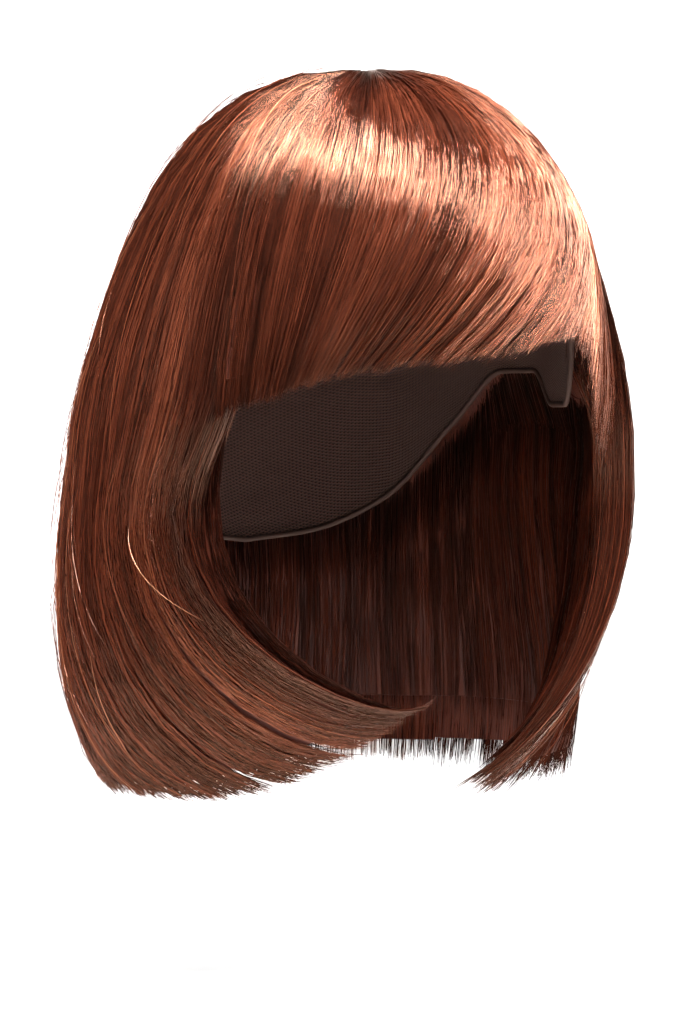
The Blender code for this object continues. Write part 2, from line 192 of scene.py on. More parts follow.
@dataclass(frozen=True)
class Groom:
    """How the hair lies: one row of a table for each guide round the head, as in the part's solids."""

    head: Head = Head()
    crown_depth: float = 0.0128
    brim_depth: float = 0.0280
    flare: float = 0.0060
    hang: float = 0.148
    tuck: float = 0.055
    thickness: float = 0.0125
    tip_thickness: float = 0.0026
    thinning: float = 0.42
    cap_wall: float = 0.0015
    cap_gap: float = 0.0014
    layer_gap: float = 0.0013
    dome_run: float = 1.35
    curl_run: float = 1.08
    curl_most: float = 1.15
    comb_end: float = 0.32
    flare_end: float = 0.45
    bend_reach: float = 0.05
    course_end: float = 1.02
    sweep_start: float = 38.0
    sweep_delay: float = 11.0
    sweep_late: tuple[float, float] = (-10.0, 40.0)
    sweep_power: float = 1.7
    thins_from: float = 60.0
    # Where the back of hair leaves the cap and where it hangs free, as shares of the dome's height
    swept_free: tuple[float, float] = (0.5, 0.84)
    hanging_free: tuple[float, float] = (0.82, 1.10)
    # Degrees from the face between which the depth goes from front to back
    side: tuple[float, float] = (60, 120)
    # Polar angle, share of the way from crown depth to brim depth: in front, behind
    lift: tuple = (
        (0, -0.25, -0.22), (9, 0.02, 0.0), (31, 0.03, -0.06), (49, 0.09, -0.11),
        (64, 0.18, 0.0), (79, 0.53, 0.38), (90, 0.97, 0.95),
    )
    # Azimuth from the face, share of the brim depth
    brim: tuple = (
        (0, 0.39), (25, 0.46), (45, 0.68), (60, 0.89), (90, 1.0), (120, 0.93), (150, 0.90), (180, 0.86),
    )
    # Azimuth from the face, polar angle of the cap's edge
    rim: tuple = (
        (0, 58), (30, 61), (50, 75), (64, 93), (74, 93), (86, 86), (102, 86),
        (122, 97), (142, 112), (162, 119), (180, 121),
    )
    # Azimuth, sweep in degrees, polar angle of the tip, depth at the tip as a share
    fringe_guides: tuple = (
        (-58, 0, 94.0, 0.98), (-47, -6, 92.3, 0.72), (-30, -15, 90.7, 0.62), (-5, -26, 87.6, 0.60),
        (20, -32, 85.3, 0.60), (36, -30, 83.3, 0.60), (44, -26, 81.4, 0.61), (48, -24, 80.5, 0.62),
    )
    temple_guides: tuple = (
        (48, -24, 80.5, 0.62), (51, -19, 82.5, 0.64), (54, -16, 96.0, 0.62), (57, -11, 98.5, 0.64),
        (60, -6, 96.0, 0.72),
    )
    # Azimuth, comb back, drop share, curl start share, turn, tuck share, sweep, flare share
    hang_guides: tuple = (
        (60, 5, 0.99, 0.20, 58, 1.06, -14, 0.60),
        (77, 3, 1.01, 0.22, 56, 0.94, -8, 0.70),
        (87, 1, 1.00, 0.36, 50, 0.50, -3, 0.70),
        (95, 0, 0.99, 0.55, 40, 0.10, 0, 0.60),
        (150, 0, 0.99, 0.62, 50, 0.20, 0, 0.80),
        (180, 0, 0.97, 0.62, 52, 0.28, 0, 0.80),
        (210, 0, 1.00, 0.62, 54, 0.28, 5, 0.90),
        (235, 0, 1.01, 0.59, 62, 0.36, 16, 1.10),
        (257, 0, 1.01, 0.45, 74, 0.55, 28, 1.00),
        (280, -6, 0.94, 0.32, 86, 0.70, 43, 0.60),
        (302, -11, 0.79, 0.27, 97, 0.75, 59, 0.35),
    )
    under_thickness: float = 0.0055
    under_least: float = 0.0005
    under_taper: float = 14.0
    # Degrees that the inner layer starts above the cap's edge
    under_lap: float = 2.0
    # Shares of the curtain's length, first and last, and steps between that are searched for its top
    under_search: tuple[float, float, int] = (0.4, 0.95, 111)
    under_columns: int = 121
    # Shares of its length: where it swings forward, where it has swelled and where it thins, and by how much
    under_swing: tuple[float, float] = (0.05, 0.45)
    under_swells: float = 0.35
    under_thins: tuple[float, float] = (0.5, 0.8)
    # Shares of the gap and of the thickness that are left at the top and at the sides
    under_gap_top: float = 0.4
    under_side: float = 0.1
    # Step, as a share of the length, over which a strand's course is read
    probe: float = 0.0005
    under_forward: tuple[float, float] = (6.0, 2.0)
    under_edges: tuple[float, float] = (61.0, 301.0)
    # Azimuth, share of the curtain's length where the inner layer, darker with painted shade, ends
    under_ends: tuple = (
        (61, 0.96), (90, 0.95), (130, 0.93), (180, 0.92), (230, 0.93), (270, 0.94), (301, 0.96),
    )

    def depth(self, azimuth: Array, polar: Array) -> Array:
        """Return the hair's depth over the head, from the crown to the widest level."""
        first, last = self.side
        behind = ease((from_face(azimuth) - first) / (last - first))
        front, back = through(self.lift, 1, polar), through(self.lift, 2, polar)
        share = front + (back - front) * behind
        brim = self.brim_depth * through(self.brim, 1, from_face(azimuth))
        return self.crown_depth + (brim - self.crown_depth) * share

    def swept(self, guides: tuple, azimuth: Array, share: Array) -> Array:
        """Return the outer surface of hair that sweeps over the forehead.

        Args:
            guides: The section's guide table.
            azimuth: Azimuth at the whorl, in degrees.
            share: Share of the way from root to tip.

        Returns:
            Points of the outer surface.
        """
        tip = through(guides, 2, azimuth)
        polar = self.head.whorl_polar + (tip - self.head.whorl_polar) * share
        # The wearer's left of the fringe falls further before it sweeps
        first, last = self.sweep_late
        start = self.sweep_start + self.sweep_delay * ease((azimuth - first) / (last - first))
        swept = np.clip((polar - start) / (tip - start), 0, 1) ** self.sweep_power
        turned = azimuth + through(guides, 1, azimuth) * swept
        thins = ease((polar - self.thins_from) / (LEVEL - self.thins_from))
        thin = 1 - (1 - through(guides, 3, azimuth)) * thins
        return self.head.over(turned, polar, self.depth(turned, polar) * thin)

    def fringe(self, azimuth: Array, share: Array) -> Array:
        """Return the fringe's outer surface."""
        return self.swept(self.fringe_guides, azimuth, share)

    def temple(self, azimuth: Array, share: Array) -> Array:
        """Return the temple lock's outer surface."""
        return self.swept(self.temple_guides, azimuth, share)

    def course(self, azimuth: Array, share: Array) -> Array:
        """Return the course of the curtains' and back's strands.

        Args:
            azimuth: Azimuth at the whorl, in degrees, 60 to 302.
            share: Share of the way from root to tip.

        Returns:
            Points over the dome, down, under and forward.
        """
        guides, hang = self.hang_guides, self.hang
        drop, start = hang * through(guides, 2, azimuth), hang * through(guides, 3, azimuth)
        turn = np.radians(through(guides, 4, azimuth))
        tuck = self.tuck * through(guides, 5, azimuth)
        dome_run = self.dome_run * self.head.dome
        curl_run = np.hypot(drop - start, tuck) * self.curl_run
        run = share * (dome_run + start + curl_run)
        polar = self.head.whorl_polar + (LEVEL - self.head.whorl_polar) * np.clip(run / dome_run, 0, 1)
        fall = np.clip(run - dome_run, 0, start)
        curled = np.clip((run - dome_run - start) / curl_run, 0, self.curl_most)
        fall = fall + (drop - start) * np.sin(curled * turn) / np.sin(turn)
        bend = (1 - np.cos(curled * turn)) / (1 - np.cos(turn))
        azimuth_now = (
            azimuth
            + through(guides, 1, azimuth) * ease(fall / (self.comb_end * hang))
            + through(guides, 6, azimuth) * bend
        )
        on_dome = self.head.over(azimuth_now, polar, self.depth(azimuth_now, polar))
        flare = self.flare * through(guides, 7, azimuth) * ease(fall / (self.flare_end * hang))
        out, way = flare - tuck * bend, np.radians(azimuth_now)
        return on_dome + stack(out * np.sin(way), -out * np.cos(way), -fall)

    def hanging(self, azimuth: Array, share: Array) -> Array:
        """Return the outer surface of the curtains and the back, its bend at the brim rounded."""
        reach = self.bend_reach * np.clip(10 * share * (1 - share), 0, 1)
        courses = [self.course(azimuth, share + reach * step) for step in (-1, -0.5, 0, 0.5, 1)]
        return sum(courses) / len(courses)

    def outward(self, surface: Surface, azimuth: Array, share: Array) -> Array:
        """Return unit vectors square to a surface's strands, away from the head."""
        step = self.probe
        # Well past the tips the surface stands still, so the strands' course is read just before
        read = np.minimum(share, self.course_end)
        low, high = np.maximum(read - step, 0), read + step
        down = surface(azimuth, high) - surface(azimuth, low)
        down /= np.linalg.norm(down, axis=-1, keepdims=True)
        away = surface(azimuth, share) - self.head.centre
        away[..., 2] = np.maximum(away[..., 2], 0)
        away -= down * (away * down).sum(-1, keepdims=True)
        return away / np.linalg.norm(away, axis=-1, keepdims=True)

    def thickness_at(self, share: Array) -> Array:
        """Return the hanging hair's thickness: full at the jaw, thin at the tips."""
        return self.tip_thickness + (self.thickness - self.tip_thickness) * ease((1 - share) / self.thinning)

    def inner(self, surface: Surface, free: tuple[float, float], azimuth: Array, share: Array) -> Array:
        """Return a section's inner surface.

        Args:
            surface: The section's outer surface.
            free: Where its back leaves the cap and where it hangs free, as shares of the dome's height.
            azimuth: Azimuth at the whorl.
            share: Share of the way from root to tip.

        Returns:
            Points on the cap over the dome, and close behind the outer surface below it.
        """
        outer = surface(azimuth, share)
        on_cap = self.head.on_ray(outer - self.head.centre, self.cap_wall + self.cap_gap)
        hanging = outer - self.outward(surface, azimuth, share) * self.thickness_at(share)[..., None]
        freed = ease((-outer[..., 2] / self.head.dome - free[0]) / (free[1] - free[0]))
        return on_cap + (hanging - on_cap) * freed[..., None]

    def cap_edge(self, azimuth: Array) -> Array:
        """Return the polar angle of the cap's edge."""
        return through(self.rim, 1, from_face(azimuth))

    def under_span(self, azimuth: Array) -> tuple[Array, Array]:
        """Return the shares of the curtain's length where the inner layer starts and ends."""
        steps = np.linspace(*self.under_search)[None, :]
        grid = np.linspace(*self.under_edges, self.under_columns)[:, None]
        height = self.hanging(grid, steps)[..., 2]
        rim = self.head.over(grid, self.cap_edge(grid) - self.under_lap, 0.0, from_whorl=False)[..., 2]
        top = np.array([np.interp(-r, -h, steps[0]) for r, h in zip(rim[:, 0], height)])
        bottom = through(self.under_ends, 1, grid[:, 0])
        return np.interp(azimuth, grid[:, 0], top), np.interp(azimuth, grid[:, 0], bottom)

    def under_place(self, azimuth: Array, share: Array) -> tuple[Array, Array]:
        """Return the azimuth and the share of the curtain's length that the inner layer follows."""
        first, last = self.under_edges
        top, bottom = self.under_span(azimuth)
        across = (azimuth - first) / (last - first)
        right, left = self.under_forward
        # Only the outer quarter at each side swings forward
        forward = right * ease(4 * across - 3) - left * ease(1 - 4 * across)
        begin, full = self.under_swing
        turned = azimuth + ease((share - begin) / (full - begin)) * forward
        return turned, top + (bottom - top) * share

    def under(self, azimuth: Array, share: Array) -> Array:
        """Return the outer surface of the layer inside the curtains and back, which is darker with painted
        shade.
        """
        turned, down = self.under_place(azimuth, share)
        curtain = self.inner(self.hanging, self.hanging_free, turned, down)
        normal = self.outward(self.hanging, turned, down)
        return curtain - normal * (self.layer_gap * (self.under_gap_top + share))[..., None]

    def under_inner(self, azimuth: Array, share: Array) -> Array:
        """Return the inner surface of the inner layer, darker with painted shade, which thins out towards all
        its edges.
        """
        first, last = self.under_edges
        ends = ease(np.minimum(azimuth - first, last - azimuth) / self.under_taper)
        late, loss = self.under_thins
        side = self.under_side + (1 - self.under_side) * ends
        body = ease(share / self.under_swells) * (1 - loss * ease((share - late) / (1 - late))) * side
        turned, down = self.under_place(azimuth, share)
        normal = self.outward(self.hanging, turned, down)
        thickness = self.under_least + self.under_thickness * body
        return self.under(azimuth, share) - normal * thickness[..., None]


class Tone(Enum):
    """Where a section's fibres lie on the colour ramp, from the low end that paints the inner layer's shade
    to light copper.
    """

    # The inner layer: its darker tone is painted shade
    DARK = 0.23
    AUBURN = 0.46
    COPPER = 0.56


@dataclass(frozen=True)
class FibreFinish:
    """Glossy synthetic fibre: colour by fibre, with painted shade at the root and the tip."""

    name: str = "glossy auburn fibre"
    ramp: tuple[tuple[float, Colour], ...] = (
        (0.00, (0.007, 0.0016, 0.0009)),
        (0.22, (0.026, 0.0050, 0.0025)),
        (0.45, (0.072, 0.0145, 0.0065)),
        (0.68, (0.155, 0.0355, 0.0155)),
        (0.88, (0.310, 0.0920, 0.0410)),
        (1.00, (0.540, 0.2300, 0.1250)),
    )
    roughness: float = 0.18
    metal: float = 0.45
    index: float = 1.62
    sheen: float = 0.8
    tint: Colour = (1.0, 0.60, 0.40)
    # Share of the fibre's length, brightness: painted shade at the root, where fibres come from under others,
    # and at the tip
    shade: tuple[tuple[float, float], ...] = (
        (0.0, 0.3), (0.09, 0.55), (0.26, 1.0), (0.85, 0.95), (1.0, 0.75),
    )

    def material(self) -> Material:
        """Build the finish that reads the fibre's tint and length from its map."""
        made, tree, shader = principled(self.name, self.roughness, self.sheen)
        uv = add(tree, "ShaderNodeUVMap", uv_map=FIBRE_MAP)
        split = add(tree, "ShaderNodeSeparateXYZ")
        ramp = colour_ramp(tree, self.ramp)
        # Painted shade along the fibre: the length ramp darkens the root and the tip
        shade = colour_ramp(tree, tuple((place, (grey,) * 3) for place, grey in self.shade))
        mix = add(tree, "ShaderNodeMix", data_type="RGBA", blend_type="MULTIPLY")
        mix.inputs["Factor"].default_value = 1.0
        wire(
            tree,
            (uv, "UV", split, "Vector"),
            (split, "X", ramp, "Fac"),
            (split, "Y", shade, "Fac"),
            (ramp, "Color", mix, "A"),
            (shade, "Color", mix, "B"),
            (mix, "Result", shader, "Base Color"),
        )
        shader.inputs["IOR"].default_value = self.index
        shader.inputs["Metallic"].default_value = self.metal
        shader.inputs["Specular Tint"].default_value = (*self.tint, 1.0)
        return made


@dataclass(frozen=True)
class BackingFinish:
    """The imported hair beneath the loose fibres: fine streaks that run with the flow."""

    name: str
    dark: Colour
    mid: Colour
    light: Colour
    roughness: float = 0.55
    sheen: float = 0.15
    streaks: float = 260.0
    broad: float = 0.16
    fine_share: float = 0.6
    # How fine the fine and the broad streaks are along the strands
    lengthwise: tuple[float, float] = (3.0, 1.5)
    stops: tuple[float, float, float] = (0.34, 0.5, 0.68)
    bump: tuple[float, float] = (0.7, 0.0006)

    def material(self) -> Material:
        """Build the finish on the piece's flow map, whose first axis runs across the strands."""
        made, tree, shader = principled(self.name, self.roughness, self.sheen)
        uv = add(tree, "ShaderNodeUVMap", uv_map=FLOW_MAP)
        fine = self.stretched(tree, uv, self.streaks, self.lengthwise[0])
        broad = self.stretched(tree, uv, self.streaks * self.broad, self.lengthwise[1])
        part = add(tree, "ShaderNodeMath", {1: 1 - self.fine_share}, operation="MULTIPLY")
        blend = add(tree, "ShaderNodeMath", {1: self.fine_share}, operation="MULTIPLY_ADD")
        ramp = colour_ramp(tree, tuple(zip(self.stops, (self.dark, self.mid, self.light))))
        bump = add(tree, "ShaderNodeBump", {"Strength": self.bump[0], "Distance": self.bump[1]})
        wire(
            tree,
            (broad, "Fac", part, 0),
            (fine, "Fac", blend, 0),
            (part, "Value", blend, 2),
            (blend, "Value", ramp, "Fac"),
            (ramp, "Color", shader, "Base Color"),
            (fine, "Fac", bump, "Height"),
            (bump, "Normal", shader, "Normal"),
        )
        return made

    @staticmethod
    def stretched(tree: NodeTree, uv: Node, across: float, along: float) -> Node:
        """Return noise drawn out along the flow.

        Args:
            tree: The material's tree.
            uv: The map node that it reads.
            across: How fine it is across the strands.
            along: How fine it is along them.

        Returns:
            The noise node.
        """
        mapping = add(tree, "ShaderNodeMapping", {"Scale": (across, along, 1.0)})
        noise = add(tree, "ShaderNodeTexNoise", {"Scale": 1.0, "Detail": 3.0})
        wire(tree, (uv, "UV", mapping, "Vector"), (mapping, "Vector", noise, "Vector"))
        return noise


@dataclass(frozen=True)
class NetFinish:
    """Knitted stretch net: crossed threads with darker gaps."""

    name: str = "stretch net"
    thread: Colour = (0.060, 0.028, 0.020)
    gap: Colour = (0.018, 0.009, 0.007)
    roughness: float = 0.85
    specular: float = 0.2
    threads: float = 520.0
    slant: float = 42.0
    distortion: float = 0.6
    stops: tuple[float, float] = (0.45, 0.8)
    bump: tuple[float, float] = (0.8, 0.0005)

    def material(self) -> Material:
        """Build the finish on the flow map: two slanted sets of threads."""
        made, tree, shader = principled(self.name, self.roughness, self.specular)
        uv = add(tree, "ShaderNodeUVMap", uv_map=FLOW_MAP)
        top = add(tree, "ShaderNodeMath", operation="MAXIMUM")
        for number, slant in enumerate((self.slant, -self.slant)):
            mapping = add(tree, "ShaderNodeMapping", {"Rotation": (0, 0, math.radians(slant))})
            values = {"Scale": self.threads / ROUND, "Distortion": self.distortion, "Detail": 1.0}
            wave = add(tree, "ShaderNodeTexWave", values)
            wire(tree, (uv, "UV", mapping, "Vector"), (mapping, "Vector", wave, "Vector"))
            wire(tree, (wave, "Fac", top, number))
        ramp = colour_ramp(tree, tuple(zip(self.stops, (self.gap, self.thread))))
        bump = add(tree, "ShaderNodeBump", {"Strength": self.bump[0], "Distance": self.bump[1]})
        wire(
            tree,
            (top, "Value", ramp, "Fac"),
            (top, "Value", bump, "Height"),
            (ramp, "Color", shader, "Base Color"),
            (bump, "Normal", shader, "Normal"),
        )
        return made


@dataclass(frozen=True)
class PaperFinish:
    """The plain pale floor."""

    name: str = "pale paper"
    colour: Colour = (0.80, 0.80, 0.80)
    roughness: float = 0.9
    specular: float = 0.5

    def material(self) -> Material:
        """Build a matte white."""
        made, _, shader = principled(self.name, self.roughness, self.specular)
        shader.inputs["Base Color"].default_value = (*self.colour, 1.0)
        return made


def add(tree: NodeTree, kind: str, values: dict | None = None, **settings: object) -> Node:
    """Add a node to a tree.

    Args:
        tree: The tree.
        kind: The node's type.
        values: Fixed values of its inputs, by name or place.
        settings: Its own properties, which are set first.

    Returns:
        The node.
    """
    made = tree.nodes.new(kind)
    for name, value in settings.items():
        setattr(made, name, value)
    for name, value in (values or {}).items():
        made.inputs[name].default_value = value
    return made


def wire(tree: NodeTree, *links: tuple) -> None:
    """Join nodes: each link is a node, its output, another node and its input."""
    for source, output, target, place in links:
        tree.links.new(source.outputs[output], target.inputs[place])


def principled(
    name: str, roughness: float, specular: float
) -> tuple[Material, NodeTree, Node]:
    """Return a new material with its tree and its shader."""
    made = bpy.data.materials.new(name)
    made.use_nodes = True
    shader = made.node_tree.nodes["Principled BSDF"]
    shader.inputs["Roughness"].default_value = roughness
    shader.inputs["Specular IOR Level"].default_value = specular
    return made, made.node_tree, shader


def colour_ramp(tree: NodeTree, stops: tuple) -> Node:
    """Return a colour ramp node with these stops of place and colour."""
    ramp = tree.nodes.new("ShaderNodeValToRGB")
    elements = ramp.color_ramp.elements
    while len(elements) < len(stops):
        elements.new(0.5)
    for element, (place, colour) in zip(elements, stops):
        element.position = place
        element.color = (*colour, 1.0)
    return ramp


@dataclass(frozen=True)
class FibreTree:
    """The node tree that turns guide lines into closed, tapered fibres."""

    name: str = "Lines to fibres"
    swells_by: float = 0.2
    thins_from: float = 0.82
    # The parts of the map that tints and lengths are held to
    tints: tuple[float, float] = (0.02, 0.98)
    lengths: tuple[float, float] = (0.01, 0.99)

    def build(self) -> NodeTree:
        """Build the tree, with named inputs for the fibre's sizes.

        Returns:
            The node group.
        """
        tree = bpy.data.node_groups.new(self.name, "GeometryNodeTree")
        socket = tree.interface.new_socket
        socket("Geometry", in_out="INPUT", socket_type="NodeSocketGeometry")
        for name, kind, value in (
            ("Fibre radius", "NodeSocketFloat", 0.00025),
            ("Root share", "NodeSocketFloat", 0.7),
            ("Tip share", "NodeSocketFloat", 0.35),
            ("Sides", "NodeSocketInt", 3),
            ("Tint spread", "NodeSocketFloat", 0.12),
            ("Seed", "NodeSocketInt", 1),
        ):
            socket(name, in_out="INPUT", socket_type=kind).default_value = value
        socket("Finish", in_out="INPUT", socket_type="NodeSocketMaterial")
        socket("Geometry", in_out="OUTPUT", socket_type="NodeSocketGeometry")
        given, out = add(tree, "NodeGroupInput"), add(tree, "NodeGroupOutput")
        curves = add(tree, "GeometryNodeMeshToCurve")
        link = tree.links.new

        def number(name: str) -> NodeSocket:
            """Read a named number of the lines."""
            node = add(tree, "GeometryNodeInputNamedAttribute", {"Name": name}, data_type="FLOAT")
            return node.outputs["Attribute"]

        def maths(operation: str, first: object, second: object) -> NodeSocket:
            """Join two numbers."""
            node = add(tree, "ShaderNodeMath", operation=operation)
            for place, value in enumerate((first, second)):
                if isinstance(value, float):
                    node.inputs[place].default_value = value
                else:
                    link(value, node.inputs[place])
            return node.outputs["Value"]

        def held(name: str, low: float, high: float) -> NodeSocket:
            """Read a named number, held between two limits."""
            return maths("MINIMUM", maths("MAXIMUM", number(name), low), high)

        # The fibre swells past its root and thins to its tip
        swell = add(tree, "ShaderNodeMapRange", {"From Max": self.swells_by}, interpolation_type="SMOOTHSTEP")
        thin = add(tree, "ShaderNodeMapRange", {"From Min": self.thins_from, "To Min": 1.0})
        for node, share, end in ((swell, "Root share", "To Min"), (thin, "Tip share", "To Max")):
            link(number("along"), node.inputs["Value"])
            link(given.outputs[share], node.inputs[end])
        shape = maths("MULTIPLY", swell.outputs["Result"], thin.outputs["Result"])
        radius = maths("MULTIPLY", given.outputs["Fibre radius"], maths("MULTIPLY", shape, number("girth")))

        # Each fibre's tint differs a little from its lock's
        dice = add(tree, "FunctionNodeRandomValue", data_type="FLOAT")
        ends = {item.identifier: item for item in dice.inputs}
        link(maths("MULTIPLY", given.outputs["Tint spread"], -1.0), ends["Min_001"])
        link(given.outputs["Tint spread"], ends["Max_001"])
        link(given.outputs["Seed"], dice.inputs["Seed"])
        each = add(tree, "GeometryNodeFieldOnDomain", domain="CURVE", data_type="FLOAT")
        link(dice.outputs[1], each.inputs["Value"])
        store = "GeometryNodeStoreNamedAttribute"
        tint = add(tree, store, {"Name": "tint"}, data_type="FLOAT", domain="POINT")
        link(maths("ADD", number("tint"), each.outputs["Value"]), tint.inputs["Value"])

        ring = add(tree, "GeometryNodeCurvePrimitiveCircle", {"Radius": 1.0})
        tubes = add(tree, "GeometryNodeCurveToMesh", {"Fill Caps": True})
        link(radius, tubes.inputs["Scale"])
        place = add(tree, "ShaderNodeCombineXYZ")
        link(held("tint", *self.tints), place.inputs["X"])
        link(held("along", *self.lengths), place.inputs["Y"])
        chart = add(tree, store, {"Name": FIBRE_MAP}, data_type="FLOAT2", domain="CORNER")
        smooth, solid = add(tree, "GeometryNodeSetShadeSmooth"), add(tree, "GeometryNodeRealizeInstances")
        finish = add(tree, "GeometryNodeSetMaterial")
        wire(
            tree,
            (given, "Geometry", curves, "Mesh"),
            (curves, "Curve", tint, "Geometry"),
            (tint, "Geometry", tubes, "Curve"),
            (given, "Sides", ring, "Resolution"),
            (ring, "Curve", tubes, "Profile Curve"),
            (tubes, "Mesh", chart, "Geometry"),
            (place, "Vector", chart, "Value"),
            (chart, "Geometry", smooth, "Geometry"),
            (smooth, "Geometry", solid, "Geometry"),
            (solid, "Geometry", finish, "Geometry"),
            (given, "Finish", finish, "Material"),
            (finish, "Geometry", out, "Geometry"),
        )
        return tree


def linked(name: str, mesh: ID) -> Object:
    """Return a new object for a mesh, curve, light or camera, in the scene."""
    made = bpy.data.objects.new(name, mesh)
    bpy.context.scene.collection.objects.link(made)
    return made


def claim(piece: Object, slot: str, *nodes: str) -> None:
    """Say what a finished piece rides on and which nodes it stands for.

    Args:
        piece: The piece.
        slot: The record's material slot; not used.
        nodes: The nodes that it replaces, if any.
    """
    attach(piece, "root")
    if nodes:
        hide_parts(*nodes)
    log.info("%s: %d faces", piece.name, len(piece.data.polygons))


def through_tree(name: str, source: Mesh, tree: NodeTree, values: dict) -> Object:
    """Run a mesh through a node tree and keep the result as a plain mesh.

    Args:
        name: The new piece's name.
        source: The mesh that the tree takes in.
        tree: The node group.
        values: Its named inputs.

    Returns:
        The piece, with no modifier.
    """
    made = linked(name, source)
    modifier = made.modifiers.new("shape", "NODES")
    modifier.node_group = tree
    for item in tree.interface.items_tree:
        if item.in_out == "INPUT" and item.name in values:
            modifier[item.identifier] = values[item.name]
    made.update_tag()
    evaluated = made.evaluated_get(bpy.context.evaluated_depsgraph_get())
    mesh = bpy.data.meshes.new_from_object(evaluated)
    mesh.name = name
    made.modifiers.clear()
    made.data = mesh
    bpy.data.meshes.remove(source)
    return made


def grid_body(name: str, outer: Array, inner: Array, finish: Material) -> Object:
    """Return one closed body between two grids of points.

    Args:
        name: The piece's name.
        outer: Points by column and row.
        inner: Points of the other side, in the same order.
        finish: The material.

    Returns:
        The piece, with a flow map whose first axis runs across the columns.
    """
    columns, rows = outer.shape[:2]
    points = np.concatenate([outer.reshape(-1, 3), inner.reshape(-1, 3)])
    number = np.arange(columns * rows).reshape(columns, rows)
    other = number + columns * rows
    quads = [
        np.stack([number[:-1, :-1], number[:-1, 1:], number[1:, 1:], number[1:, :-1]], -1),
        np.stack([other[:-1, :-1], other[1:, :-1], other[1:, 1:], other[:-1, 1:]], -1),
        np.stack([number[1:, 0], other[1:, 0], other[:-1, 0], number[:-1, 0]], -1),
        np.stack([number[:-1, -1], other[:-1, -1], other[1:, -1], number[1:, -1]], -1),
        np.stack([number[0, :-1], other[0, :-1], other[0, 1:], number[0, 1:]], -1),
        np.stack([number[-1, 1:], other[-1, 1:], other[-1, :-1], number[-1, :-1]], -1),
    ]
    faces = np.concatenate([q.reshape(-1, 4) for q in quads])
    mesh = bpy.data.meshes.new(name)
    mesh.from_pydata(points.tolist(), [], faces.tolist())
    across = np.repeat(np.linspace(0, 1, columns), rows)
    along = np.tile(np.linspace(0, 1, rows), columns)
    flow = np.stack([np.tile(across, 2), np.concatenate([along, along + INNER_MAP])], -1)
    chart = mesh.uv_layers.new(name=FLOW_MAP)
    chart.uv.foreach_set("vector", flow[faces.ravel()].ravel())
    body = bmesh.new()
    body.from_mesh(mesh)
    bmesh.ops.recalc_face_normals(body, faces=body.faces)
    body.to_mesh(mesh)
    body.free()
    mesh.shade_smooth()
    mesh.set_sharp_from_angle(angle=SHARP)
    mesh.materials.append(finish)
    return linked(name, mesh)


@dataclass(frozen=True)
class Lay:
    """How the loose fibres over a section lie. Shares are of their length, angles in degrees."""

    # Where in a lock's width its middle lies, how far its fibres gather to it, and how late
    middle: tuple[float, float] = (0.2, 0.8)
    gather: tuple[float, float] = (0.2, 1.0)
    gather_power: float = 2.2
    # How long a lock is, in shares of the section's raggedness
    uneven: tuple[float, float] = (-1.0, 0.6)
    # A fibre's drift at its root and what its tip adds, its pace, and a smaller wave's size and pace
    drift: tuple[float, float] = (0.12, 0.16)
    pace: tuple[float, float] = (2.5, 6.5)
    second: tuple[float, float] = (0.4, 2.3)
    # A lock's sway and its pace
    sway: tuple[float, float] = (0.5, 4.5)
    # A lock's crest: its height, its fall and width to the sides, the fall's power, where it is whole
    crest: tuple[float, float] = (-0.6, 1.0)
    crest_sides: tuple[float, float, float] = (1.4, 0.7, 1.5)
    crest_from: float = 0.3
    # How deep roots lie in layers, what share of that at the whorl, and where they are out
    buried: tuple[float, float, float] = (1.6, 0.2, 0.12)
    room: float = 0.7
    # The ripple's pace, how much of it is each fibre's own, and where it is whole
    ripple: tuple[float, float, float] = (18.8, 0.6, 0.15)
    # Spread of tint by lock and by fibre, and how much darker the deepest layer is painted as shade
    tint: tuple[float, float, float] = (0.05, 0.04, 0.10)
    girth: tuple[float, float] = (0.75, 1.25)
    # Broad bands of tint round the head: their widths and how much they add
    band_widths: tuple[float, float, float] = (31.0, 17.0, 9.0)
    band_gain: float = 0.035
    # Painted shade at the roots: how much darker they are and how far down, each with what the valley adds
    root_painted_shade: tuple[float, float] = (0.16, 0.20)
    root_reach: tuple[float, float] = (0.13, 0.12)
    # The wave of the fibres at edges and inside: its size, pace and phase
    waver: float = 0.5
    waver_pace: tuple[float, float] = (3.0, 8.0)
    waver_phase: float = 6.0


@dataclass(frozen=True)
class EdgeLay:
    """How fibres lie through the thickness of a free edge."""

    # Mean and spread of their length, in shares of the section's raggedness
    uneven: tuple[float, float] = (-0.6, 1.2)
    # How far they spread past the edge at the root, and what the tip adds
    spread: tuple[float, float] = (0.3, 0.7)
    # The deepest one, as a share of the thickness, and where depth sets in
    deepest: float = 1.2
    sinks: tuple[float, float] = (0.2, 0.1)
    tint: tuple[float, float] = (-0.10, 0.06)
    girth: tuple[float, float] = (0.8, 1.25)


@dataclass(frozen=True)
class LiningLay:
    """How the shorter fibres on an inner face lie."""

    uneven: tuple[float, float] = (-0.5, 1.0)
    # Share of the thickness that they lie at, how much less at the tips, and where that sets in
    within: tuple[float, float, float] = (0.97, 0.1, 0.9)
    # How far roots stand off the inner face, in metres
    lift: float = 0.0006
    # Their tint, darker than the outer fibres: painted shade on the inner face
    tint: tuple[float, float] = (-0.12, 0.05)
    girth: tuple[float, float] = (0.8, 1.2)


